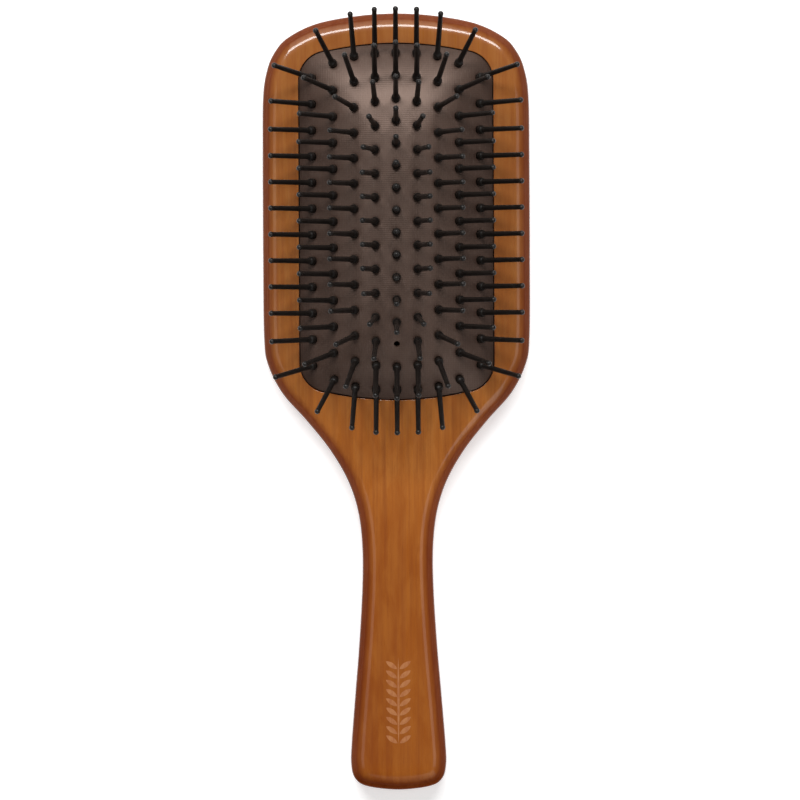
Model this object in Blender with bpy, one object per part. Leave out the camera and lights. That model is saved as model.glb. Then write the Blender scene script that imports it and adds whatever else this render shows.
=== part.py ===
"""Wooden paddle hairbrush with an air cushion and nylon pins.

Frame: metres, the brush lies on its flat back. +Z is up, out of the pins' side. +Y runs along the brush
towards the end of the head, +X to the right. The origin is on the back face, under the cushion's centre.
"""

import math

import bmesh
import bpy
from mathutils import Vector
from mathutils.geometry import delaunay_2d_cdt

MM = 0.001
GAP = 0.3 * MM

# Wooden body
WOOD_THICKNESS = 12.5 * MM
FRONT_ROUNDING = 5.2 * MM
BACK_ROUNDING = 4.4 * MM
ROUNDING_STEPS = 2
OUTLINE_STEPS = 3
# Right half of the outline, from the middle of the head's end to the middle of the butt
OUTLINE_MM = [
    (0.0, 65.3),
    (12.5, 64.5),
    (25.0, 62.1),
    (33.8, 57.8),
    (37.9, 53.3),
    (40.3, 47.7),
    (41.6, 39.0),
    (41.8, 20.0),
    (41.8, -12.0),
    (41.6, -36.0),
    (40.4, -44.6),
    (35.9, -53.6),
    (28.4, -62.1),
    (21.1, -71.3),
    (15.6, -80.8),
    (12.4, -90.6),
    (11.1, -102.0),
    (11.2, -115.0),
    (12.2, -132.0),
    (13.6, -149.0),
    (14.7, -163.0),
    (14.9, -169.6),
    (13.7, -174.2),
    (9.8, -176.7),
    (0.0, -177.8),
]

# Opening for the cushion, and the groove that holds its bead
OPENING_HALF_WIDTH = 30.5 * MM
OPENING_TOP = 55.9 * MM
OPENING_BOTTOM = -55.8 * MM
OPENING_CORNER = 9.4 * MM
OPENING_BULGE = 2.3 * MM
OPENING_CORNER_STEPS = 5
OPENING_EDGE_STEPS = 8
CHAMBER_FLOOR = 3.4 * MM
GROOVE_FLOOR = 6.6 * MM
GROOVE_ROOF = 9.9 * MM
GROOVE_DEPTH = 2.4 * MM

# Rubber cushion: a dome of superellipse contours
DOME_HALF_WIDTH = 30.6 * MM
DOME_HALF_LENGTH = 56.0 * MM
DOME_BASE = 12.0 * MM
DOME_HEIGHT = 11.8 * MM
DOME_POWER_X = 2.0
DOME_POWER_Y = 4.2
DOME_CORNER = 2.3
RUBBER = 1.2 * MM
BEAD_WIDTH = 2.0 * MM
RIM_FIT = 0.35 * MM
RIM_STEP = 1.6 * MM
VENT_RADIUS = 0.9 * MM

# Pins
COLUMN_PITCH = 6.5 * MM
COLUMN_COUNTS = [12, 13, 14, 15, 16, 15, 14, 13, 12]
COLUMN_END = 52.3 * MM
COLUMN_END_DROP = 7.4 * MM
VENT_COLUMN = 4
VENT_ROW = 13
PIN_LENGTH = 22.5 * MM
PIN_LEAN = 1.15
PIN_ROOT_RADIUS = 0.85 * MM
PIN_NECK_RADIUS = 0.76 * MM
PIN_BALL_RADIUS = 0.9 * MM
PIN_BALL_LENGTH = 2.0 * MM
PIN_HEAD_RADIUS = 1.7 * MM
PIN_HEAD_THICKNESS = 0.9 * MM
PIN_COLLAR_RADIUS = 1.45 * MM
PIN_COLLAR_HEIGHT = 2.0 * MM
PIN_SIDES = 6
BAR_HALF_WIDTH = 0.9 * MM
BAR_HALF_HEIGHT = 0.4 * MM
# Inner pins of each column that share a carrier bar, as (first row, last row)
STRIPS = {
    1: [(1, 5), (6, 11)],
    2: [(1, 4), (5, 8), (9, 12)],
    3: [(1, 4), (5, 8), (9, 13)],
    4: [(1, 4), (5, 8), (9, 12)],
    5: [(1, 4), (5, 8), (9, 13)],
    6: [(1, 4), (5, 8), (9, 12)],
    7: [(1, 5), (6, 11)],
}


def clear_scene():
    for found in list(bpy.data.objects):
        bpy.data.objects.remove(found, do_unlink=True)


def make_material(name, colour, roughness):
    material = bpy.data.materials.new(name)
    material.use_nodes = True
    shader = material.node_tree.nodes["Principled BSDF"]
    shader.inputs["Base Color"].default_value = (*colour, 1.0)
    shader.inputs["Roughness"].default_value = roughness
    shader.inputs["Metallic"].default_value = 0.0
    return material


def add_object(name, mesh, material):
    made = bpy.data.objects.new(name, mesh)
    bpy.context.scene.collection.objects.link(made)
    if material is not None:
        mesh.materials.append(material)
    return made


def mesh_from(name, points, faces, smooth_angle=0.6):
    mesh = bpy.data.meshes.new(name)
    mesh.from_pydata(points, [], faces)
    shape = bmesh.new()
    shape.from_mesh(mesh)
    bmesh.ops.recalc_face_normals(shape, faces=shape.faces)
    shape.to_mesh(mesh)
    shape.free()
    mesh.shade_smooth()
    mesh.set_sharp_from_angle(angle=smooth_angle)
    return mesh


def spline(points, steps):
    """A Catmull-Rom curve through the points, whose ends are mirrored across X = 0."""
    first = (-points[1][0], points[1][1])
    last = (-points[-2][0], points[-2][1])
    knots = [Vector(p) for p in [first, *points, last]]
    curve = []
    for a, b, c, d in zip(knots, knots[1:], knots[2:], knots[3:]):
        for step in range(steps):
            t = step / steps
            bend = 2 * a - 5 * b + 4 * c - d
            twist = 3 * b - a - 3 * c + d
            curve.append(0.5 * (2 * b + (c - a) * t + bend * t**2 + twist * t**3))
    curve.append(knots[-2])
    return curve


def body_outline():
    """The body's outline, anticlockwise, from the middle of the butt."""
    half = [Vector((x * MM, y * MM)) for x, y in OUTLINE_MM]
    right = spline([tuple(p) for p in half], OUTLINE_STEPS)
    left = [Vector((-p.x, p.y)) for p in right[1:-1]]
    return right[::-1] + left


def opening_outline():
    """The opening's outline, anticlockwise: straight sides, round corners and slightly bowed ends."""
    points = []
    for end, side in [(1, 1), (1, -1), (-1, -1), (-1, 1)]:
        reach = OPENING_TOP if end > 0 else OPENING_BOTTOM
        centre_y = reach - end * (OPENING_CORNER + OPENING_BULGE)
        centre = Vector((side * (OPENING_HALF_WIDTH - OPENING_CORNER), centre_y))
        corner = []
        for step in range(OPENING_CORNER_STEPS + 1):
            angle = math.pi / 2 * step / OPENING_CORNER_STEPS
            corner.append(centre + Vector((side * math.cos(angle), end * math.sin(angle))) * OPENING_CORNER)
        points += corner if end == side else corner[::-1]
        if side == end:
            run = 2 * (OPENING_HALF_WIDTH - OPENING_CORNER)
            for step in range(1, OPENING_EDGE_STEPS):
                share = 2 * step / OPENING_EDGE_STEPS - 1
                bow = OPENING_BULGE * (1 - share**2)
                points.append(Vector((-side * share * run / 2, reach - end * OPENING_BULGE + end * bow)))
        else:
            for step in range(1, OPENING_EDGE_STEPS):
                share = step / OPENING_EDGE_STEPS
                low = OPENING_BOTTOM + OPENING_CORNER + OPENING_BULGE
                high = OPENING_TOP - OPENING_CORNER - OPENING_BULGE
                y = high + (low - high) * share if side < 0 else low + (high - low) * share
                points.append(Vector((side * OPENING_HALF_WIDTH, y)))
    return points


def offset(outline, distance):
    """The closed outline moved outwards by a distance, or inwards by a negative one."""
    moved = []
    for index, point in enumerate(outline):
        before = (point - outline[index - 1]).normalized()
        after = (outline[(index + 1) % len(outline)] - point).normalized()
        along = (before + after).normalized()
        normal = Vector((along.y, -along.x))
        moved.append(point + normal * distance / max(0.5, along.dot(after)))
    return moved


def loft(rings):
    """Points and faces of a closed solid through rings of (outline, height), with flat ends."""
    count = len(rings[0][0])
    points = [(p.x, p.y, z) for outline, z in rings for p in outline]
    faces = [tuple(range(count))]
    for ring in range(len(rings) - 1):
        start = ring * count
        for index in range(count):
            after = (index + 1) % count
            faces.append((start + index, start + after, start + count + after, start + count + index))
    faces.append(tuple(range((len(rings) - 1) * count, len(rings) * count)))
    return points, faces


def make_wooden_body(material):
    outline = body_outline()
    rings = []
    for step in range(ROUNDING_STEPS + 1):
        angle = math.pi / 2 * step / ROUNDING_STEPS
        inset = BACK_ROUNDING * (1 - math.sin(angle))
        rings.append((offset(outline, -inset), BACK_ROUNDING * (1 - math.cos(angle))))
    for step in range(ROUNDING_STEPS + 1):
        angle = math.pi / 2 * step / ROUNDING_STEPS
        inset = FRONT_ROUNDING * (1 - math.cos(angle))
        rings.append((offset(outline, -inset), WOOD_THICKNESS - FRONT_ROUNDING * (1 - math.sin(angle))))
    body = add_object("wooden_body", mesh_from("wooden_body", *loft(rings)), material)

    opening = opening_outline()
    groove = offset(opening, GROOVE_DEPTH)
    recess = [
        (opening, CHAMBER_FLOOR),
        (opening, GROOVE_FLOOR),
        (groove, GROOVE_FLOOR),
        (groove, GROOVE_ROOF),
        (opening, GROOVE_ROOF),
        (opening, WOOD_THICKNESS + MM),
    ]
    cutter = add_object("recess_cutter", mesh_from("recess_cutter", *loft(recess)), None)
    cutter.hide_render = True
    cutter.display_type = "WIRE"
    cut = body.modifiers.new("recess", "BOOLEAN")
    cut.operation = "DIFFERENCE"
    cut.solver = "EXACT"
    cut.object = cutter
    return body


def dome_level(x, y):
    """Share of the dome's height at a place on it, 1 at the crown and 0 at the rim."""
    across = (abs(x) / DOME_HALF_WIDTH) ** DOME_POWER_X
    along = (abs(y) / DOME_HALF_LENGTH) ** DOME_POWER_Y
    return 1 - (across**DOME_CORNER + along**DOME_CORNER) ** (1 / DOME_CORNER)


def dome_point(x, y):
    return Vector((x, y, DOME_BASE + DOME_HEIGHT * dome_level(x, y)))


def dome_normal(x, y):
    step = 0.05 * MM
    slope_x = (dome_point(x + step, y).z - dome_point(x - step, y).z) / (2 * step)
    slope_y = (dome_point(x, y + step).z - dome_point(x, y - step).z) / (2 * step)
    return Vector((-slope_x, -slope_y, 1)).normalized()


def pin_axes(x, y):
    """A pin's direction, which leans out a bit more than the dome's normal, and two directions across it."""
    normal = dome_normal(x, y)
    along = Vector((normal.x * PIN_LEAN, normal.y * PIN_LEAN, normal.z)).normalized()
    side = along.cross(Vector((0, 1, 0))).normalized()
    return along, side, side.cross(along)


def column_places():
    """(column, row, x, y) of each pin and of the vent, from the left column and from the head's end."""
    places = []
    middle = (len(COLUMN_COUNTS) - 1) / 2
    for column, count in enumerate(COLUMN_COUNTS):
        x = (column - middle) * COLUMN_PITCH
        reach = COLUMN_END - COLUMN_END_DROP * abs((column - middle) / middle) ** 3
        for row in range(count):
            places.append((column, row, x, reach * (1 - 2 * row / (count - 1))))
    return places


def is_vent(column, row):
    return column == VENT_COLUMN and row == VENT_ROW


def make_cushion(material):
    """The rubber cushion: a domed sheet with a hole for each pin, whose rim turns down into a bead."""
    rim = offset(opening_outline(), -RIM_FIT)
    flat_points = list(rim)
    edges = [(index, (index + 1) % len(rim)) for index in range(len(rim))]
    holes = []
    for column, row, x, y in column_places():
        radius = VENT_RADIUS if is_vent(column, row) else PIN_ROOT_RADIUS + GAP
        _, side, other = pin_axes(x, y)
        first = len(flat_points)
        for index in range(PIN_SIDES):
            angle = 2 * math.pi * index / PIN_SIDES
            place = Vector((x, y, 0)) + (side * math.cos(angle) + other * math.sin(angle)) * radius
            flat_points.append(Vector((place.x, place.y)))
        loop = list(range(first, first + PIN_SIDES))
        holes.append(loop)
        edges += [(loop[index], loop[(index + 1) % PIN_SIDES]) for index in range(PIN_SIDES)]
    flat_points += offset(rim, -RIM_STEP)
    points, _, triangles, *_ = delaunay_2d_cdt(flat_points, edges, [], 0, 1e-9)
    rims = [set(range(len(rim)))] + [set(loop) for loop in holes]
    sheet = [tuple(triangle) for triangle in triangles if not any(loop.issuperset(triangle) for loop in rims)]

    count = len(points)
    top = [dome_point(p.x, p.y) for p in points]
    under = []
    for index, p in enumerate(points):
        if index < len(rim):
            inner = offset_point(rim, index, -RUBBER)
            under.append(Vector((inner.x, inner.y, top[index].z - RUBBER)))
        else:
            under.append(top[index] - pin_axes(p.x, p.y)[0] * RUBBER)
    faces = list(sheet)
    faces += [tuple(index + count for index in reversed(triangle)) for triangle in sheet]
    for loop in holes:
        for index, here in enumerate(loop):
            after = loop[(index + 1) % PIN_SIDES]
            faces.append((here, after, after + count, here + count))

    solid_points = top + under
    bead = offset(rim, BEAD_WIDTH)
    inner_wall = offset(rim, -RUBBER)
    rings = [
        (rim, GROOVE_ROOF - GAP),
        (bead, GROOVE_ROOF - GAP),
        (bead, GROOVE_FLOOR + GAP),
        (inner_wall, GROOVE_FLOOR + GAP),
    ]
    previous = list(range(len(rim)))
    for outline, z in rings:
        ring = list(range(len(solid_points), len(solid_points) + len(rim)))
        solid_points += [Vector((p.x, p.y, z)) for p in outline]
        faces += ring_faces(previous, ring)
        previous = ring
    faces += ring_faces(previous, list(range(count, count + len(rim))))
    return add_object("cushion_membrane", mesh_from("cushion_membrane", solid_points, faces), material)


def offset_point(outline, index, distance):
    return offset([outline[index - 1], outline[index], outline[(index + 1) % len(outline)]], distance)[1]


def ring_faces(first, second):
    size = len(first)
    return [(first[i], first[(i + 1) % size], second[(i + 1) % size], second[i]) for i in range(size)]


def pin_shape(x, y):
    """Points and faces of one pin: a head under the rubber, a collar on it, a tapered stem and a ball tip."""
    root = dome_point(x, y)
    along, side, other = pin_axes(x, y)
    head_top = -RUBBER - GAP
    profile = [
        (PIN_HEAD_RADIUS, head_top - PIN_HEAD_THICKNESS),
        (PIN_ROOT_RADIUS, head_top),
        (PIN_ROOT_RADIUS, GAP),
        (PIN_COLLAR_RADIUS, GAP),
        (PIN_ROOT_RADIUS, PIN_COLLAR_HEIGHT),
        (PIN_NECK_RADIUS, PIN_LENGTH - PIN_BALL_LENGTH),
        (PIN_BALL_RADIUS, PIN_LENGTH - 0.55 * PIN_BALL_LENGTH),
        (0.55 * PIN_BALL_RADIUS, PIN_LENGTH),
    ]
    points = []
    for radius, height in profile:
        for index in range(PIN_SIDES):
            angle = 2 * math.pi * index / PIN_SIDES
            across = side * math.cos(angle) + other * math.sin(angle)
            points.append(root + along * height + across * radius)
    rings = [list(range(n * PIN_SIDES, (n + 1) * PIN_SIDES)) for n in range(len(profile))]
    faces = [tuple(rings[0]), tuple(rings[-1])]
    for first, second in zip(rings, rings[1:]):
        faces += ring_faces(first, second)
    return points, faces


def joined(shapes):
    points, faces = [], []
    for more_points, more_faces in shapes:
        start = len(points)
        points += more_points
        faces += [tuple(index + start for index in face) for face in more_faces]
    return points, faces


def bar_shape(places):
    """Points and faces of the bar that joins the heads of the pins at these places, under the rubber."""
    depth = RUBBER + GAP + PIN_HEAD_THICKNESS
    points, rings = [], []
    for x, y in places:
        along, across, _ = pin_axes(x, y)
        centre = dome_point(x, y) - along * depth
        side = across * BAR_HALF_WIDTH
        up = along * BAR_HALF_HEIGHT
        rings.append(list(range(len(points), len(points) + 4)))
        points += [centre - side - up, centre + side - up, centre + side + up, centre - side + up]
    faces = [tuple(rings[0]), tuple(rings[-1])]
    for first, second in zip(rings, rings[1:]):
        faces += ring_faces(first, second)
    return points, faces


def pin_name(column, row):
    return f"pin_{'abcdefghi'[column]}_{row + 1:02d}"


def strip_name(column, first, last):
    return f"pin_strip_{'abcdefghi'[column]}_{first + 1:02d}_{last + 1:02d}"


def pin_groups():
    """{node name: [(x, y) of each of its pins]}, the single pins and then the strips."""
    places = {(column, row): (x, y) for column, row, x, y in column_places() if not is_vent(column, row)}
    strips = {}
    for column, runs in STRIPS.items():
        for first, last in runs:
            members = [places.pop((column, row)) for row in range(first, last + 1)]
            strips[strip_name(column, first, last)] = members
    singles = {pin_name(column, row): [place] for (column, row), place in places.items()}
    return {**singles, **strips}


def make_pin(name, place, origin, material):
    points, faces = pin_shape(*place)
    pin = add_object(name, mesh_from(name, [p - origin for p in points], faces), material)
    pin.location = origin
    return pin


def make_strip(name, places, origin, material):
    points, faces = bar_shape(places)
    strip = add_object(name, mesh_from(name, [p - origin for p in points], faces), material)
    strip.location = origin
    points, faces = joined([pin_shape(*place) for place in places])
    pins = add_object(f"{name}_pins", mesh_from(f"{name}_pins", points, faces), material)
    pins.hide_render = True
    pins.display_type = "WIRE"
    join = strip.modifiers.new("pins", "BOOLEAN")
    join.operation = "UNION"
    join.solver = "EXACT"
    join.object = pins
    return strip


def rocking_axis(places):
    """A point on the line in the rubber that a node's pins rock about, and its lengthways direction."""
    middles = [dome_point(x, y) - pin_axes(x, y)[0] * RUBBER / 2 for x, y in places]
    if len(middles) > 1:
        direction = middles[0] - middles[-1]
    else:
        normal = dome_normal(*places[0])
        direction = Vector((0, normal.z, -normal.y))
    return sum(middles, Vector()) / len(middles), direction.normalized()


def main():
    clear_scene()
    wood = make_material("lacquered_wood", (0.33, 0.10, 0.02), 0.28)
    rubber = make_material("cushion_rubber", (0.10, 0.065, 0.05), 0.6)
    nylon = make_material("black_nylon", (0.012, 0.009, 0.008), 0.3)
    make_wooden_body(wood)
    make_cushion(rubber)
    for name, places in pin_groups().items():
        maker = make_strip if len(places) > 1 else make_pin
        origin, _ = rocking_axis(places)
        maker(name, places if len(places) > 1 else places[0], origin, nylon)


main()
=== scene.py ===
"""Looks of the wooden paddle hairbrush: lacquered wood, finely woven rubber cushion, dark nylon pins.

Units are metres in the CAD frame: the brush lies on its back, +Z out of the pins' side, +Y towards the end of
the head, and the origin on the back face under the cushion's centre.
"""

import math

import bmesh
import bpy
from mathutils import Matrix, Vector
from mathutils.geometry import delaunay_2d_cdt


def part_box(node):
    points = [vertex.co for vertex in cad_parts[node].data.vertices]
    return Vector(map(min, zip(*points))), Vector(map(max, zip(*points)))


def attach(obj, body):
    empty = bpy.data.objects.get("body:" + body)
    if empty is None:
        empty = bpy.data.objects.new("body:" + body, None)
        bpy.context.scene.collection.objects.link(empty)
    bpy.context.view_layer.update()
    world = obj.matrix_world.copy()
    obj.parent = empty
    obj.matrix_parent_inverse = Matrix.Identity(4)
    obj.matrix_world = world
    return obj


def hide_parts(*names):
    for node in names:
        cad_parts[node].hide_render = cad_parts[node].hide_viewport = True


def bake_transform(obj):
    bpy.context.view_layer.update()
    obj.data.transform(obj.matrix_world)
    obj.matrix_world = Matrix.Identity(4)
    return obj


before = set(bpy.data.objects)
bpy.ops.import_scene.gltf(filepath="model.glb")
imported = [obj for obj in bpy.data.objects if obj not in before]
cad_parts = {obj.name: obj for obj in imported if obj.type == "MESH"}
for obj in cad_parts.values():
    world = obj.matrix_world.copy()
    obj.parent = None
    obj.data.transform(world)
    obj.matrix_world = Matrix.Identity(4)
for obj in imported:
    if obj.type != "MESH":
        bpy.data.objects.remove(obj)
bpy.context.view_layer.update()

MM = 0.001

# Wooden body
_, WOOD_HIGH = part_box("wooden_body")
WOOD_TOP = WOOD_HIGH[2]
FRONT_ROUNDING = 5.2 * MM
BACK_ROUNDING = 4.4 * MM
ROUNDING_STEPS = 9
OUTLINE_STEPS = 8
SUPPORT = 0.35 * MM
# Right half of the outline, from the middle of the head's end to the middle of the butt
OUTLINE_MM = [
    (0.0, 65.3),
    (12.5, 64.5),
    (25.0, 62.1),
    (33.8, 57.8),
    (37.9, 53.3),
    (40.3, 47.7),
    (41.6, 39.0),
    (41.8, 20.0),
    (41.8, -12.0),
    (41.6, -36.0),
    (40.4, -44.6),
    (35.9, -53.6),
    (28.4, -62.1),
    (21.1, -71.3),
    (15.6, -80.8),
    (12.4, -90.6),
    (11.1, -102.0),
    (11.2, -115.0),
    (12.2, -132.0),
    (13.6, -149.0),
    (14.7, -163.0),
    (14.9, -169.6),
    (13.7, -174.2),
    (9.8, -176.7),
    (0.0, -177.8),
]

# Opening for the cushion
OPENING_HALF_WIDTH = 30.5 * MM
OPENING_TOP = 55.9 * MM
OPENING_BOTTOM = -55.8 * MM
OPENING_CORNER = 9.4 * MM
OPENING_BULGE = 2.3 * MM
OPENING_CORNER_STEPS = 16
OPENING_EDGE_STEPS = 28
OPENING_EDGE_ROUNDING = 0.18 * MM
OPENING_ROUNDING_STEPS = 4
CHAMBER_FLOOR = 3.4 * MM
GROOVE_FLOOR = 6.6 * MM
GROOVE_ROOF = 9.9 * MM
GROOVE_DEPTH = 2.4 * MM

# Rubber cushion
DOME_HALF_WIDTH = 30.6 * MM
DOME_HALF_LENGTH = 56.0 * MM
DOME_BASE = 12.0 * MM
DOME_HEIGHT = 11.8 * MM
DOME_POWER_X = 2.0
DOME_POWER_Y = 4.2
DOME_CORNER = 2.3
RUBBER = 1.2 * MM
RIM_FIT = 0.35 * MM
RIM_INSETS = [0.0, 0.35 * MM, 0.9 * MM, 1.8 * MM]
BEAD_WIDTH = 2.0 * MM
BEAD_GAP = 0.3 * MM
BEAD_ROUNDING = 0.5 * MM
VENT_RADIUS = 0.9 * MM
HOLE_SIDES = 18
HOLE_RINGS = [1.28 * MM, 1.5 * MM, 1.9 * MM, 2.5 * MM]
HOLE_WAIST = 1.12 * MM
VENT_RINGS = [0.95 * MM, 1.15 * MM, 1.6 * MM, 2.3 * MM]
DIMPLE = 0.22 * MM
SHEET_SPACING = 1.5 * MM

# Pins
COLUMN_PITCH = 6.5 * MM
COLUMN_COUNTS = [12, 13, 14, 15, 16, 15, 14, 13, 12]
COLUMN_END = 52.3 * MM
COLUMN_END_DROP = 7.4 * MM
VENT = (4, 13)
PIN_LENGTH = 22.5 * MM
PIN_LEAN = 1.15
PIN_ROOT_RADIUS = 0.85 * MM
PIN_NECK_RADIUS = 0.76 * MM
PIN_BALL_RADIUS = 0.9 * MM
PIN_HEAD_RADIUS = 1.6 * MM
PIN_HEAD_THICKNESS = 0.85 * MM
PIN_HEAD_GAP = 0.5 * MM
PIN_COLLAR_RADIUS = 1.4 * MM
PIN_COLLAR_HEIGHT = 2.1 * MM
PIN_COLLAR_GAP = 0.4 * MM
PIN_SIDES = 16
BALL_NECK = 1.2 * MM
BALL_LATITUDES = (-25, 0, 25, 48, 68, 82)
BAR_HALF_WIDTH = 0.9 * MM
BAR_HALF_HEIGHT = 0.4 * MM
BAR_PROFILE = [(-1, -0.6), (-0.7, -1), (0.7, -1), (1, -0.6), (1, 1), (-1, 1)]

# Sprig of foil on the handle
SPRIG_MIDDLE = -150.0 * MM
SPRIG_LENGTH = 27.5 * MM
SPRIG_PAIRS = 9
SPRIG_LEAF = 4.3 * MM
SPRIG_LEAF_WIDTH = 1.5 * MM
SPRIG_STEM_WIDTH = 0.7 * MM
LEAF_STEPS = 8
FOIL_SINK = 0.02 * MM
FOIL_THICKNESS = 0.03 * MM

# Colours, as linear red, green, blue and alpha; the tints multiply what is under them
HONEY_DEEP = (0.250, 0.060, 0.0050, 1.0)
HONEY_PALE = (0.320, 0.090, 0.0100, 1.0)
MOTTLE = (0.385, 0.130, 0.0200, 1.0)
NECK_TINT = (1.28, 1.42, 1.90, 1.0)
# Painted shade of the pins and painted hazy reflection, partly darker wood: darkens and greys the head
HEAD_SHADE_AND_HAZE = (0.72, 0.77, 0.98, 1.0)
STREAK = (0.205, 0.045, 0.006, 1.0)
PORE = (0.14, 0.028, 0.004, 1.0)
# Painted shade: multiplies the wood darker and redder where the edge turns away from straight up
TURNED_EDGE_SHADE = (0.54, 0.37, 0.60, 1.0)
BARE_DARK = (0.30, 0.15, 0.06, 1.0)
BARE_PALE = (0.42, 0.24, 0.11, 1.0)
RUBBER_DARK = (0.044, 0.024, 0.017, 1.0)
RUBBER_PALE = (0.060, 0.034, 0.025, 1.0)
# Painted shade in the furrows of the rubber's ribs and threads
RUBBER_FURROW_SHADE = (0.020, 0.011, 0.008, 1.0)
RUBBER_FLECK = (0.085, 0.062, 0.052, 1.0)
RUBBER_GLOSS = (1.0, 0.74, 0.62, 1.0)
NYLON_DARK = (0.0050, 0.0036, 0.0030, 1.0)
NYLON_PALE = (0.0090, 0.0064, 0.0050, 1.0)
FOIL_BRIGHT = (0.42, 0.165, 0.056, 1.0)
FOIL_WORN = (0.33, 0.100, 0.022, 1.0)
PAPER_DARK = (0.90, 0.90, 0.90, 1.0)
PAPER_PALE = (0.92, 0.92, 0.92, 1.0)
WHITE = (1.0, 1.0, 1.0, 1.0)

# Fine pattern of the rubber; a wave texture of scale WAVE_SCALE repeats about once in each unit
WAVE_SCALE = 0.318
RIB_PITCH = 0.62 * MM
THREAD_PITCH = 0.75 * MM

# Camera and light
CAMERA_DISTANCE = 4.0
CAMERA_AIM = (0.9 * MM, -55.8 * MM)
CAMERA_ROLL = -0.25
FRAME_WIDTH = 250.2 * MM
SENSOR = 36.0
LIGHT_AIM_Y = -30 * MM
LIGHT_DISTANCE = 1.2
# Name, tilt from straight above, compass turn from +Y (degrees), width, height (metres), power (watts)
LIGHTS = [
    ("key", 33, -6, 1.15, 0.26, 16.0),
    ("back", 58, -14, 0.9, 0.7, 2.0),
    ("left", 34, -95, 0.42, 0.42, 0.4),
    ("right", 34, 95, 0.42, 0.42, 0.55),
    ("low", 48, 157, 1.0, 0.9, 3.6),
]
SURROUNDINGS_LIGHT = 0.12
BACKGROUND_LIGHT = 1.0
FLOOR_REACH = 0.8
FLOOR_DROP = 0.05 * MM
FLOOR_GLOW = 0.45


# ---------------------------------------------------------------- shapes


def spline(points, steps):
    """A Catmull-Rom curve through the points, whose ends are mirrored across X = 0."""
    first = (-points[1][0], points[1][1])
    last = (-points[-2][0], points[-2][1])
    knots = [Vector(p) for p in [first, *points, last]]
    curve = []
    for a, b, c, d in zip(knots, knots[1:], knots[2:], knots[3:]):
        for step in range(steps):
            t = step / steps
            bend = 2 * a - 5 * b + 4 * c - d
            twist = 3 * b - a - 3 * c + d
            curve.append(0.5 * (2 * b + (c - a) * t + bend * t**2 + twist * t**3))
    curve.append(knots[-2])
    return curve


def body_outline():
    """The body's outline, anticlockwise, from the middle of the butt."""
    right = spline([(x * MM, y * MM) for x, y in OUTLINE_MM], OUTLINE_STEPS)
    left = [Vector((-p.x, p.y)) for p in right[1:-1]]
    return right[::-1] + left


def opening_outline():
    """The opening's outline, anticlockwise: straight sides, round corners and slightly bowed ends."""
    low = OPENING_BOTTOM + OPENING_CORNER + OPENING_BULGE
    high = OPENING_TOP - OPENING_CORNER - OPENING_BULGE
    run = OPENING_HALF_WIDTH - OPENING_CORNER
    points = []
    for end, side in [(1, 1), (1, -1), (-1, -1), (-1, 1)]:
        reach = OPENING_TOP if end > 0 else OPENING_BOTTOM
        centre = Vector((side * run, high if end > 0 else low))
        corner = []
        for step in range(OPENING_CORNER_STEPS + 1):
            angle = math.pi / 2 * step / OPENING_CORNER_STEPS
            corner.append(centre + Vector((side * math.cos(angle), end * math.sin(angle))) * OPENING_CORNER)
        points += corner if end == side else corner[::-1]
        for step in range(1, OPENING_EDGE_STEPS):
            share = step / OPENING_EDGE_STEPS
            if side == end:
                across = 2 * share - 1
                bow = OPENING_BULGE * (1 - across**2)
                points.append(Vector((-side * across * run, reach - end * (OPENING_BULGE - bow))))
            else:
                y = high + (low - high) * share if side < 0 else low + (high - low) * share
                points.append(Vector((side * OPENING_HALF_WIDTH, y)))
    return points


def offset(outline, distance):
    """The closed outline moved outwards by a distance, or inwards by a negative one."""
    moved = []
    for index, point in enumerate(outline):
        before = (point - outline[index - 1]).normalized()
        after = (outline[(index + 1) % len(outline)] - point).normalized()
        along = (before + after).normalized()
        normal = Vector((along.y, -along.x))
        moved.append(point + normal * distance / max(0.5, along.dot(after)))
    return moved


def inset(outline, distance):
    """The outline moved inwards, with the points that would cross over at a tight corner drawn back in line."""
    moved = offset(outline, -distance)
    size = len(moved)
    sound = [min((p - q).length for q in outline) >= 0.9995 * distance for p in moved]
    for _ in range(3):
        for index in range(size):
            if sound[index]:
                continue
            before = next(k for k in range(1, size) if sound[index - k])
            after = next(k for k in range(1, size) if sound[(index + k) % size])
            share = before / (before + after)
            moved[index] = moved[index - before].lerp(moved[(index + after) % size], share)
        for index in range(size):
            after = (index + 1) % size
            if (moved[after] - moved[index]).dot(outline[after] - outline[index]) <= 0:
                sound[index] = sound[after] = False
    return moved


def dome_level(x, y):
    """Share of the dome's height at a place on it, 1 at the crown and 0 at the rim."""
    across = (abs(x) / DOME_HALF_WIDTH) ** DOME_POWER_X
    along = (abs(y) / DOME_HALF_LENGTH) ** DOME_POWER_Y
    return 1 - (across**DOME_CORNER + along**DOME_CORNER) ** (1 / DOME_CORNER)


def dome_point(x, y):
    """The point of the dome's outer face over a flat place."""
    return Vector((x, y, DOME_BASE + DOME_HEIGHT * dome_level(x, y)))


def dome_normal(x, y):
    """The outward direction of the dome over a flat place."""
    step = 0.05 * MM
    slope_x = (dome_point(x + step, y).z - dome_point(x - step, y).z) / (2 * step)
    slope_y = (dome_point(x, y + step).z - dome_point(x, y - step).z) / (2 * step)
    return Vector((-slope_x, -slope_y, 1)).normalized()


def pin_axes(x, y):
    """A pin's direction, which leans out a bit more than the dome's normal, and two directions across it."""
    normal = dome_normal(x, y)
    along = Vector((normal.x * PIN_LEAN, normal.y * PIN_LEAN, normal.z)).normalized()
    side = along.cross(Vector((0, 1, 0))).normalized()
    return along, side, side.cross(along)


def column_places():
    """{(column, row): (x, y)} of each pin and of the vent, from the left column and from the head's end."""
    places = {}
    middle = (len(COLUMN_COUNTS) - 1) / 2
    for column, count in enumerate(COLUMN_COUNTS):
        x = (column - middle) * COLUMN_PITCH
        reach = COLUMN_END - COLUMN_END_DROP * abs((column - middle) / middle) ** 3
        for row in range(count):
            places[column, row] = (x, reach * (1 - 2 * row / (count - 1)))
    return places


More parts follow.
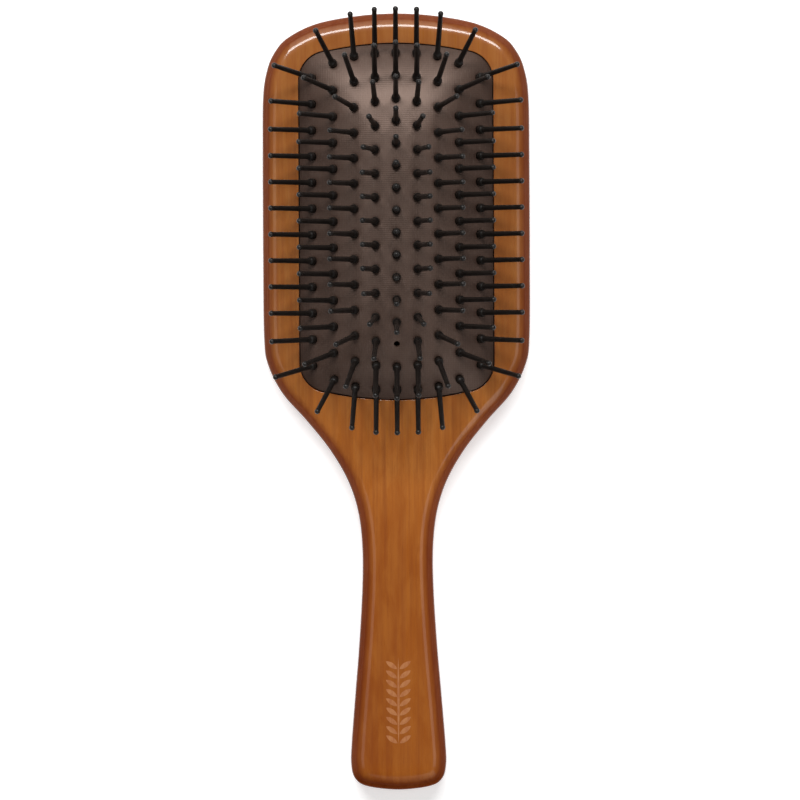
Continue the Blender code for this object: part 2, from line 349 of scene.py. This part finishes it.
class Shape:
    """Points and faces gathered for one mesh."""

    def __init__(self):
        self.points = []
        self.faces = []

    def ring(self, points):
        start = len(self.points)
        self.points += [Vector(p) for p in points]
        return list(range(start, len(self.points)))

    def level(self, outline, z):
        return self.ring([(p.x, p.y, z) for p in outline])

    def bridge(self, first, second):
        size = len(first)
        for i in range(size):
            after = (i + 1) % size
            self.faces.append((first[i], first[after], second[after], second[i]))

    def tube(self, rings):
        for first, second in zip(rings, rings[1:]):
            self.bridge(first, second)

    def cap(self, ring):
        self.faces.append(tuple(ring))

    def make(self, name, material, smooth_angle=0.7):
        mesh = bpy.data.meshes.new(name)
        mesh.from_pydata([tuple(p) for p in self.points], [], self.faces)
        shape = bmesh.new()
        shape.from_mesh(mesh)
        bmesh.ops.recalc_face_normals(shape, faces=shape.faces)
        shape.to_mesh(mesh)
        shape.free()
        mesh.shade_smooth()
        mesh.set_sharp_from_angle(angle=smooth_angle)
        made = bpy.data.objects.new(name, mesh)
        bpy.context.scene.collection.objects.link(made)
        mesh.materials.append(material)
        return made


# ---------------------------------------------------------------- materials


class Material:
    """A Principled material and short ways to add nodes to it."""

    def __init__(self, name, **constants):
        self.material = bpy.data.materials.new(name)
        self.material.use_nodes = True
        self.tree = self.material.node_tree
        self.shader = self.tree.nodes["Principled BSDF"]
        for socket, value in constants.items():
            self.shader.inputs[socket.replace("_", " ")].default_value = value
        self.coordinates = self.node("ShaderNodeTexCoord")

    def node(self, kind, inputs=None, **settings):
        made = self.tree.nodes.new(kind)
        for key, value in settings.items():
            setattr(made, key, value)
        for key, value in (inputs or {}).items():
            self.feed(made.inputs[key], value)
        return made

    def feed(self, socket, value):
        if isinstance(value, bpy.types.NodeSocket):
            self.tree.links.new(value, socket)
        else:
            socket.default_value = value

    def stretched(self, scale):
        """The object's own coordinates, in metres, scaled along each axis."""
        mapping = self.node("ShaderNodeMapping", {"Vector": self.coordinates.outputs["Object"], "Scale": scale})
        return mapping.outputs["Vector"]

    def noise(self, scale, detail=3.0, roughness=0.5, distortion=0.0):
        made = self.node(
            "ShaderNodeTexNoise",
            {
                "Vector": self.stretched(scale),
                "Scale": 1.0,
                "Detail": detail,
                "Roughness": roughness,
                "Distortion": distortion,
            },
        )
        return made.outputs["Fac"]

    def bands(self, pitch, direction):
        """Even bands across the X or the Y direction of the object."""
        made = self.node(
            "ShaderNodeTexWave",
            {"Vector": self.stretched((1.0, 1.0, 0.0)), "Scale": WAVE_SCALE / pitch, "Distortion": 0.0},
            wave_type="BANDS",
            bands_direction=direction,
            wave_profile="SIN",
        )
        return made.outputs["Fac"]

    def remap(self, value, low, high, to_low=0.0, to_high=1.0):
        made = self.node(
            "ShaderNodeMapRange",
            {"Value": value, "From Min": low, "From Max": high, "To Min": to_low, "To Max": to_high},
        )
        return made.outputs["Result"]

    def maths(self, operation, first, second):
        return self.node("ShaderNodeMath", {0: first, 1: second}, operation=operation).outputs[0]

    def mix(self, share, first, second, blend="MIX"):
        made = self.node("ShaderNodeMix", {"Factor": share}, data_type="RGBA", blend_type=blend)
        self.feed(made.inputs[6], first)
        self.feed(made.inputs[7], second)
        return made.outputs[2]

    def bump(self, height, distance, strength=1.0, before=None):
        made = self.node("ShaderNodeBump", {"Height": height, "Distance": distance, "Strength": strength})
        if before is not None:
            self.feed(made.inputs["Normal"], before)
        return made.outputs["Normal"]

    def finish(self, colour, roughness=None, normal=None):
        self.feed(self.shader.inputs["Base Color"], colour)
        if roughness is not None:
            self.feed(self.shader.inputs["Roughness"], roughness)
        if normal is not None:
            self.feed(self.shader.inputs["Normal"], normal)
        return self.material


def wood_material():
    """Honey-coloured lacquered wood: straight fine grain along Y, with painted shade, darker and redder, where the
    edge turns away.
    """
    wood = Material("lacquered_wood", Coat_Roughness=0.09, Coat_IOR=1.5)
    broad = wood.noise((70.0, 6.0, 70.0), detail=3.0, distortion=0.6)
    streaks = wood.noise((900.0, 22.0, 900.0), detail=4.0, roughness=0.6)
    mottle = wood.noise((300.0, 80.0, 300.0), detail=3.0, roughness=0.55, distortion=0.4)
    pores = wood.noise((2600.0, 120.0, 2600.0), detail=2.0, roughness=0.7)
    place = wood.node("ShaderNodeSeparateXYZ", {"Vector": wood.coordinates.outputs["Object"]})
    y = place.outputs["Y"]
    paler = wood.remap(y, -0.175, -0.075, -0.12, 0.12)
    colour = wood.mix(wood.remap(wood.maths("ADD", broad, paler), 0.30, 0.70), HONEY_DEEP, HONEY_PALE)
    colour = wood.mix(wood.remap(mottle, 0.38, 0.66, 0.0, 0.45), colour, MOTTLE)
    colour = wood.mix(wood.remap(y, -0.110, -0.066), colour, NECK_TINT, "MULTIPLY")
    # Painted shade and painted hazy reflection over the head, partly darker wood
    colour = wood.mix(wood.remap(y, -0.066, -0.040), colour, HEAD_SHADE_AND_HAZE, "MULTIPLY")
    colour = wood.mix(wood.remap(streaks, 0.42, 0.70, 0.0, 0.45), colour, STREAK)
    colour = wood.mix(wood.remap(pores, 0.60, 0.74, 0.0, 0.25), colour, PORE)
    facing = wood.node("ShaderNodeSeparateXYZ", {"Vector": wood.coordinates.outputs["Normal"]})
    flat = wood.maths("ABSOLUTE", facing.outputs["Z"], 0.0)
    # Painted shade on the turned edges, by how far the normal turns from straight up
    colour = wood.mix(wood.remap(flat, 0.96, 0.76, 0.0, 0.95), colour, TURNED_EDGE_SHADE, "MULTIPLY")
    # The lacquer is thin where the edge turns away and at the butt's end, and thicker again on the sides
    end_wear = wood.remap(y, -0.1745, -0.1690, 0.05, 1.0)
    coat = wood.maths("MULTIPLY", wood.remap(flat, 0.90, 0.66, 0.85, 0.10), end_wear)
    coat = wood.maths("ADD", coat, wood.remap(flat, 0.35, 0.15, 0.0, 0.55))
    wood.feed(wood.shader.inputs["Coat Weight"], coat)
    wood.feed(wood.shader.inputs["Specular IOR Level"], wood.remap(flat, 0.90, 0.66, 0.12, 0.0))
    roughness = wood.remap(streaks, 0.3, 0.7, 0.25, 0.35)
    return wood.finish(colour, roughness, wood.bump(streaks, 0.02 * MM, 0.35))


def recess_material():
    """Bare sanded wood inside the recess."""
    wood = Material("bare_wood", IOR=1.45)
    streaks = wood.noise((900.0, 22.0, 900.0), detail=4.0, roughness=0.6)
    colour = wood.mix(wood.remap(streaks, 0.3, 0.7), BARE_DARK, BARE_PALE)
    return wood.finish(colour, 0.7, wood.bump(streaks, 0.05 * MM, 0.5))


def rubber_material():
    """Dark brown rubber with a fine weave of ribs and threads, painted shade in the weave's furrows, and faint
    bloom.
    """
    rubber = Material("ribbed_rubber", IOR=1.6, Specular_IOR_Level=0.7, Specular_Tint=RUBBER_GLOSS)
    ribs = rubber.bands(RIB_PITCH, "Y")
    threads = rubber.bands(THREAD_PITCH, "X")
    flecks = rubber.noise((2600.0, 500.0, 500.0), detail=1.0)
    bloom = rubber.noise((60.0, 45.0, 60.0), detail=4.0)
    colour = rubber.mix(rubber.remap(bloom, 0.3, 0.7), RUBBER_DARK, RUBBER_PALE)
    # Painted shade where the ribs and threads dip
    colour = rubber.mix(rubber.remap(ribs, 0.0, 1.0, 0.40, 0.0), colour, RUBBER_FURROW_SHADE)
    colour = rubber.mix(rubber.remap(threads, 0.0, 1.0, 0.25, 0.0), colour, RUBBER_FURROW_SHADE)
    colour = rubber.mix(rubber.remap(flecks, 0.55, 0.8, 0.0, 0.4), colour, RUBBER_FLECK)
    roughness = rubber.remap(bloom, 0.2, 0.8, 0.45, 0.49)
    normal = rubber.bump(ribs, 0.04 * MM, 0.4)
    normal = rubber.bump(threads, 0.04 * MM, 0.25, normal)
    normal = rubber.bump(flecks, 0.03 * MM, 0.4, normal)
    return rubber.finish(colour, roughness, normal)


def nylon_material():
    """Near-black brown moulded nylon with a soft gloss."""
    nylon = Material("black_nylon", IOR=1.53, Specular_IOR_Level=0.3)
    drawn = nylon.noise((700.0, 700.0, 120.0), detail=3.0)
    colour = nylon.mix(nylon.remap(drawn, 0.3, 0.7), NYLON_DARK, NYLON_PALE)
    roughness = nylon.remap(drawn, 0.3, 0.7, 0.38, 0.48)
    return nylon.finish(colour, roughness, nylon.bump(drawn, 0.01 * MM, 0.1))


def foil_material():
    """Worn pale gold foil."""
    foil = Material("gold_foil")
    worn = foil.noise((900.0, 300.0, 300.0), detail=5.0, roughness=0.7)
    colour = foil.mix(foil.remap(worn, 0.40, 0.62), FOIL_BRIGHT, FOIL_WORN)
    return foil.finish(colour, foil.remap(worn, 0.3, 0.7, 0.3, 0.5), foil.bump(worn, 0.02 * MM, 0.4))


def paper_material():
    """Plain white paper for the floor."""
    paper = Material("white_paper", Roughness=0.9, Emission_Color=WHITE, Emission_Strength=FLOOR_GLOW)
    fibres = paper.noise((60.0, 60.0, 60.0), detail=2.0)
    return paper.finish(paper.mix(fibres, PAPER_DARK, PAPER_PALE))


# ---------------------------------------------------------------- pieces


def make_wood():
    """The lacquered board: rounded outline, opening with a small rounding, undercut groove and chamber."""
    outline = body_outline()
    opening = opening_outline()
    shape = Shape()
    back = shape.level(inset(outline, BACK_ROUNDING + SUPPORT), 0.0)
    rings = [back]
    for step in range(ROUNDING_STEPS + 1):
        angle = math.pi / 2 * step / ROUNDING_STEPS
        ring = inset(outline, BACK_ROUNDING * (1 - math.sin(angle)))
        rings.append(shape.level(ring, BACK_ROUNDING * (1 - math.cos(angle))))
    for step in range(ROUNDING_STEPS + 1):
        angle = math.pi / 2 * step / ROUNDING_STEPS
        ring = inset(outline, FRONT_ROUNDING * (1 - math.cos(angle)))
        rings.append(shape.level(ring, WOOD_TOP - FRONT_ROUNDING * (1 - math.sin(angle))))
    face_outline = inset(outline, FRONT_ROUNDING + SUPPORT)
    face_ring = shape.level(face_outline, WOOD_TOP)
    rings.append(face_ring)
    shape.tube(rings)
    shape.cap(back)

    lip_outline = offset(opening, OPENING_EDGE_ROUNDING + SUPPORT)
    lip = shape.level(lip_outline, WOOD_TOP)
    flat = list(face_outline) + list(lip_outline)
    indices = face_ring + lip
    edges = []
    for start, count in [(0, len(face_ring)), (len(face_ring), len(lip))]:
        edges += [(start + i, start + (i + 1) % count) for i in range(count)]
    _, _, triangles, *_ = delaunay_2d_cdt(flat, edges, [], 2, 1e-9)
    for triangle in triangles:
        if not all(i >= len(face_ring) for i in triangle):
            shape.faces.append(tuple(indices[i] for i in triangle))

    inner = [lip]
    for step in range(OPENING_ROUNDING_STEPS + 1):
        angle = math.pi / 2 * step / OPENING_ROUNDING_STEPS
        drop = OPENING_EDGE_ROUNDING * (1 - math.cos(angle))
        outset = OPENING_EDGE_ROUNDING * (1 - math.sin(angle))
        inner.append(shape.level(offset(opening, outset), WOOD_TOP - drop))
    groove = offset(opening, GROOVE_DEPTH)
    for ring, z in [
        (opening, GROOVE_ROOF),
        (groove, GROOVE_ROOF),
        (groove, GROOVE_FLOOR),
        (opening, GROOVE_FLOOR),
        (opening, CHAMBER_FLOOR),
    ]:
        inner.append(shape.level(ring, z))
    first_bare_face = len(shape.faces) + (OPENING_ROUNDING_STEPS + 1) * len(opening)
    shape.tube(inner)
    shape.cap(inner[-1])
    wood = shape.make("lacquered_body", wood_material(), smooth_angle=0.9)
    wood.data.materials.append(recess_material())
    for polygon in wood.data.polygons:
        if polygon.index >= first_bare_face:
            polygon.material_index = 1
    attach(wood, "brush_body")
    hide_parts("wooden_body")


def rubber_sheet_points(rim):
    """Flat points of the cushion's sheet: rim rings, rings round each hole, and a grid between them."""
    flat = []
    edges = []
    for depth in RIM_INSETS:
        start = len(flat)
        flat += offset(rim, -depth)
        edges += [(start + i, start + (i + 1) % len(rim)) for i in range(len(rim))]
    holes = []
    places = column_places()
    for key, (x, y) in places.items():
        _, side, other = pin_axes(x, y)
        for number, radius in enumerate(VENT_RINGS if key == VENT else HOLE_RINGS):
            start = len(flat)
            for i in range(HOLE_SIDES):
                angle = 2 * math.pi * i / HOLE_SIDES
                place = (side * math.cos(angle) + other * math.sin(angle)) * radius
                flat.append(Vector((x + place.x, y + place.y)))
            ring = list(range(start, start + HOLE_SIDES))
            edges += [(ring[i], ring[(i + 1) % HOLE_SIDES]) for i in range(HOLE_SIDES)]
            if number == 0:
                holes.append((key, ring))
    inner = offset(rim, -RIM_INSETS[-1] - 0.8 * SHEET_SPACING)
    clear = HOLE_RINGS[-1] + 0.6 * SHEET_SPACING
    across = int(OPENING_HALF_WIDTH / SHEET_SPACING)
    along = int(OPENING_TOP / SHEET_SPACING)
    for i in range(-across, across + 1):
        for j in range(-along, along + 1):
            spot = Vector((i * SHEET_SPACING, j * SHEET_SPACING))
            if inside(spot, inner) and all((spot - Vector(p)).length > clear for p in places.values()):
                flat.append(spot)
    return flat, edges, holes


def inside(spot, outline):
    """Whether a flat point is inside a closed outline."""
    crossings = False
    for a, b in zip(outline, outline[1:] + outline[:1]):
        if (a.y > spot.y) != (b.y > spot.y):
            if spot.x < (b.x - a.x) * (spot.y - a.y) / (b.y - a.y) + a.x:
                crossings = not crossings
    return crossings


def dimple(x, y, places):
    """How far the rubber is drawn in beside the nearest pin."""
    nearest = min(math.hypot(x - px, y - py) for px, py in places)
    share = max(0.0, 1 - nearest / HOLE_RINGS[-1])
    return DIMPLE * share * share * (3 - 2 * share)


def make_cushion():
    """The domed rubber sheet: drawn in at each pin, open at the pins and the vent, with a bead in the groove."""
    rim = offset(opening_outline(), -RIM_FIT)
    flat, edges, holes = rubber_sheet_points(rim)
    points, _, triangles, *_ = delaunay_2d_cdt(flat, edges, [], 0, 1e-9)
    closed = [set(range(len(rim)))] + [set(ring) for _, ring in holes]
    sheet = [tuple(t) for t in triangles if not any(loop.issuperset(t) for loop in closed)]
    places = list(column_places().values())
    shape = Shape()
    top = []
    under = []
    inner_rim = offset(rim, -RUBBER)
    for index, p in enumerate(points):
        here = dome_point(p.x, p.y)
        along = pin_axes(p.x, p.y)[0]
        drawn = along * dimple(p.x, p.y, places)
        top.append(here - drawn)
        if index < len(rim):
            under.append(Vector((inner_rim[index].x, inner_rim[index].y, here.z - RUBBER)))
        else:
            depth = min(RUBBER, 0.4 * RUBBER + 0.7 * distance_in(index, rim))
            under.append(here - along * depth)
    upper = shape.ring(top)
    lower = shape.ring(under)
    for triangle in sheet:
        shape.faces.append(tuple(upper[i] for i in triangle))
        shape.faces.append(tuple(lower[i] for i in reversed(triangle)))
    for key, ring in holes:
        middle = []
        x, y = column_places()[key]
        waist = VENT_RADIUS if key == VENT else HOLE_WAIST
        along, side, other = pin_axes(x, y)
        centre = dome_point(x, y) - along * RUBBER / 2
        for i in range(HOLE_SIDES):
            angle = 2 * math.pi * i / HOLE_SIDES
            middle.append(centre + (side * math.cos(angle) + other * math.sin(angle)) * waist)
        middle = shape.ring(middle)
        shape.tube([[upper[i] for i in ring], middle, [lower[i] for i in ring]])
    roof = GROOVE_ROOF - BEAD_GAP
    floor = GROOVE_FLOOR + BEAD_GAP
    rings = [upper[: len(rim)]]
    for outline, z in [
        (rim, roof + 0.4 * MM),
        (offset(rim, 0.15 * MM), roof),
        (offset(rim, BEAD_WIDTH - BEAD_ROUNDING), roof),
        (offset(rim, BEAD_WIDTH), roof - BEAD_ROUNDING),
        (offset(rim, BEAD_WIDTH), floor + BEAD_ROUNDING),
        (offset(rim, BEAD_WIDTH - BEAD_ROUNDING), floor),
        (offset(rim, -RUBBER + BEAD_ROUNDING), floor),
        (inner_rim, floor + BEAD_ROUNDING),
    ]:
        rings.append(shape.level(outline, z))
    rings.append(lower[: len(rim)])
    shape.tube(rings)
    cushion = shape.make("ribbed_cushion", rubber_material(), smooth_angle=0.8)
    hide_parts("cushion_membrane")
    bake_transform(cushion)


def distance_in(index, rim):
    """How far a point of the rim's rings is from the rim; other points are further in than the rubber is thick."""
    number = index // len(rim)
    return RIM_INSETS[number] if number < len(RIM_INSETS) else RUBBER * 2


def add_pin(shape, x, y):
    """One pin: head under the rubber, stem through it, collar on it, tapered stem and ball tip."""
    root = dome_point(x, y)
    along, side, other = pin_axes(x, y)
    head_top = -RUBBER - PIN_HEAD_GAP
    head_low = head_top - PIN_HEAD_THICKNESS
    soft = 0.2 * MM
    ball_centre = PIN_LENGTH - PIN_BALL_RADIUS
    profile = [
        (PIN_HEAD_RADIUS - soft, head_low),
        (PIN_HEAD_RADIUS, head_low + soft),
        (PIN_HEAD_RADIUS, head_top - soft),
        (PIN_HEAD_RADIUS - soft, head_top),
        (PIN_ROOT_RADIUS, head_top),
        (PIN_ROOT_RADIUS, PIN_COLLAR_GAP),
        (PIN_COLLAR_RADIUS - 0.5 * soft, PIN_COLLAR_GAP),
        (PIN_COLLAR_RADIUS, PIN_COLLAR_GAP + soft),
        (PIN_COLLAR_RADIUS - 0.08 * MM, PIN_COLLAR_HEIGHT - 0.55 * MM),
        (PIN_COLLAR_RADIUS - 0.25 * MM, PIN_COLLAR_HEIGHT - 0.15 * MM),
        (PIN_ROOT_RADIUS + 0.15 * MM, PIN_COLLAR_HEIGHT),
        (PIN_ROOT_RADIUS, PIN_COLLAR_HEIGHT + 0.25 * MM),
        (0.5 * (PIN_ROOT_RADIUS + PIN_NECK_RADIUS), 0.5 * PIN_LENGTH),
        (PIN_NECK_RADIUS, ball_centre - BALL_NECK),
    ]
    for degrees in BALL_LATITUDES:
        angle = math.radians(degrees)
        profile.append((PIN_BALL_RADIUS * math.cos(angle), ball_centre + PIN_BALL_RADIUS * math.sin(angle)))
    rings = []
    for radius, height in profile:
        ring = []
        for i in range(PIN_SIDES):
            angle = 2 * math.pi * i / PIN_SIDES
            ring.append(root + along * height + (side * math.cos(angle) + other * math.sin(angle)) * radius)
        rings.append(shape.ring(ring))
    shape.tube(rings)
    shape.cap(rings[0])
    shape.cap(rings[-1])


def add_bar(shape, places):
    """The bar under the rubber that joins the heads of a strip's pins."""
    rings = []
    for x, y in places:
        along, across, _ = pin_axes(x, y)
        centre = dome_point(x, y) - along * (RUBBER + PIN_HEAD_GAP + PIN_HEAD_THICKNESS)
        wide, high = across * BAR_HALF_WIDTH, along * BAR_HALF_HEIGHT
        rings.append(shape.ring([centre + wide * u + high * v for u, v in BAR_PROFILE]))
    shape.tube(rings)
    shape.cap(rings[0])
    shape.cap(rings[-1])


def pins_of(node, places):
    """The places of a pin node's pins, from its name: one pin, or the pins from one row to another."""
    words = node.split("_")
    column = "abcdefghi".index(words[-3] if "strip" in words else words[1])
    first = int(words[-2] if "strip" in words else words[2]) - 1
    last = int(words[-1]) - 1
    rows = range(first, last + 1)
    return [places[column, row] for row in rows if (column, row) != VENT]


def make_pins():
    """One piece for each pin node of the frame, with all of that node's pins."""
    nylon = nylon_material()
    places = column_places()
    for node in sorted(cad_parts):
        if not node.startswith("pin_"):
            continue
        shape = Shape()
        members = pins_of(node, places)
        for x, y in members:
            add_pin(shape, x, y)
        if len(members) > 1:
            add_bar(shape, members)
        pin = shape.make(f"nylon_{node}", nylon)
        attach(pin, node)
        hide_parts(node)


def add_leaf(shape, middle, direction, length, width):
    """A flat pointed leaf of foil, from the middle point along the direction."""
    across = Vector((-direction.y, direction.x))
    outline = []
    for side in (1, -1):
        for step in range(LEAF_STEPS):
            share = step / LEAF_STEPS
            along = share if side > 0 else 1 - share
            half = side * 0.5 * width * math.sin(math.pi * along) ** 0.7
            outline.append(middle + direction * length * along + across * half)
    low = shape.level(outline, WOOD_TOP - FOIL_SINK)
    high = shape.level(outline, WOOD_TOP + FOIL_THICKNESS)
    shape.bridge(low, high)
    shape.cap(low)
    shape.cap(high)


def make_foil():
    """A plain sprig of gold foil pressed on the handle: a stem with pairs of leaves."""
    shape = Shape()
    low = SPRIG_MIDDLE - SPRIG_LENGTH / 2
    pitch = (SPRIG_LENGTH - SPRIG_LEAF) / (SPRIG_PAIRS - 1)
    add_leaf(shape, Vector((0, low)), Vector((0, 1)), SPRIG_LENGTH, SPRIG_STEM_WIDTH)
    for pair in range(SPRIG_PAIRS):
        for side in (1, -1):
            middle = Vector((side * 0.35 * MM, low + 0.6 * MM + pitch * pair))
            add_leaf(shape, middle, Vector((side * 0.82, 0.57)).normalized(), SPRIG_LEAF, SPRIG_LEAF_WIDTH)
    foil = shape.make("foil_sprig", foil_material())
    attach(foil, "brush_body")


# ---------------------------------------------------------------- camera, light and floor


def area_light(name, tilt, turn, width, height, power):
    """A soft light, tilted from straight above by tilt degrees towards the compass turn, 0 at +Y."""
    a, b = math.radians(tilt), math.radians(turn)
    aim = Vector((0.0, LIGHT_AIM_Y, 0.0))
    place = aim + LIGHT_DISTANCE * Vector((math.sin(a) * math.sin(b), math.sin(a) * math.cos(b), math.cos(a)))
    data = bpy.data.lights.new(name, "AREA")
    data.shape = "RECTANGLE"
    data.size = width
    data.size_y = height
    data.energy = power
    light = bpy.data.objects.new(name, data)
    light.location = place
    light.rotation_euler = (place - aim).to_track_quat("Z", "Y").to_euler()
    bpy.context.scene.collection.objects.link(light)


def make_world():
    """A white background for the camera, and much dimmer surroundings for light and reflections."""
    world = bpy.data.worlds.new("studio")
    world.use_nodes = True
    nodes, links = world.node_tree.nodes, world.node_tree.links
    dim = nodes["Background"]
    seen = nodes.new("ShaderNodeBackground")
    for background, strength in [(dim, SURROUNDINGS_LIGHT), (seen, BACKGROUND_LIGHT)]:
        background.inputs["Color"].default_value = WHITE
        background.inputs["Strength"].default_value = strength
    either = nodes.new("ShaderNodeMixShader")
    links.new(nodes.new("ShaderNodeLightPath").outputs["Is Camera Ray"], either.inputs["Fac"])
    links.new(dim.outputs["Background"], either.inputs[1])
    links.new(seen.outputs["Background"], either.inputs[2])
    links.new(either.outputs["Shader"], nodes["World Output"].inputs["Surface"])
    bpy.context.scene.world = world


def make_floor():
    """A plain white sheet just under the brush."""
    floor = Shape()
    reach = FLOOR_REACH
    floor.cap(floor.ring([(-reach, -reach, 0), (reach, -reach, 0), (reach, reach, 0), (-reach, reach, 0)]))
    ground = floor.make("floor", paper_material())
    ground.location = (0, 0, -FLOOR_DROP)


def make_camera():
    """A camera straight above the brush, far enough away that the pins' lean is seen as in the photo."""
    data = bpy.data.cameras.new("camera")
    data.sensor_width = SENSOR
    data.lens = SENSOR * (CAMERA_DISTANCE - WOOD_TOP) / FRAME_WIDTH
    data.clip_end = 20.0
    camera = bpy.data.objects.new("camera", data)
    camera.location = (CAMERA_AIM[0], CAMERA_AIM[1], CAMERA_DISTANCE)
    camera.rotation_euler = (0.0, 0.0, math.radians(CAMERA_ROLL))
    bpy.context.scene.collection.objects.link(camera)
    bpy.context.scene.camera = camera


def make_studio():
    """The background, the lights, the floor and the camera."""
    bpy.context.scene.view_settings.view_transform = "Standard"
    make_world()
    for light in LIGHTS:
        area_light(*light)
    make_floor()
    make_camera()


make_wood()
make_cushion()
make_pins()
make_foil()
make_studio()
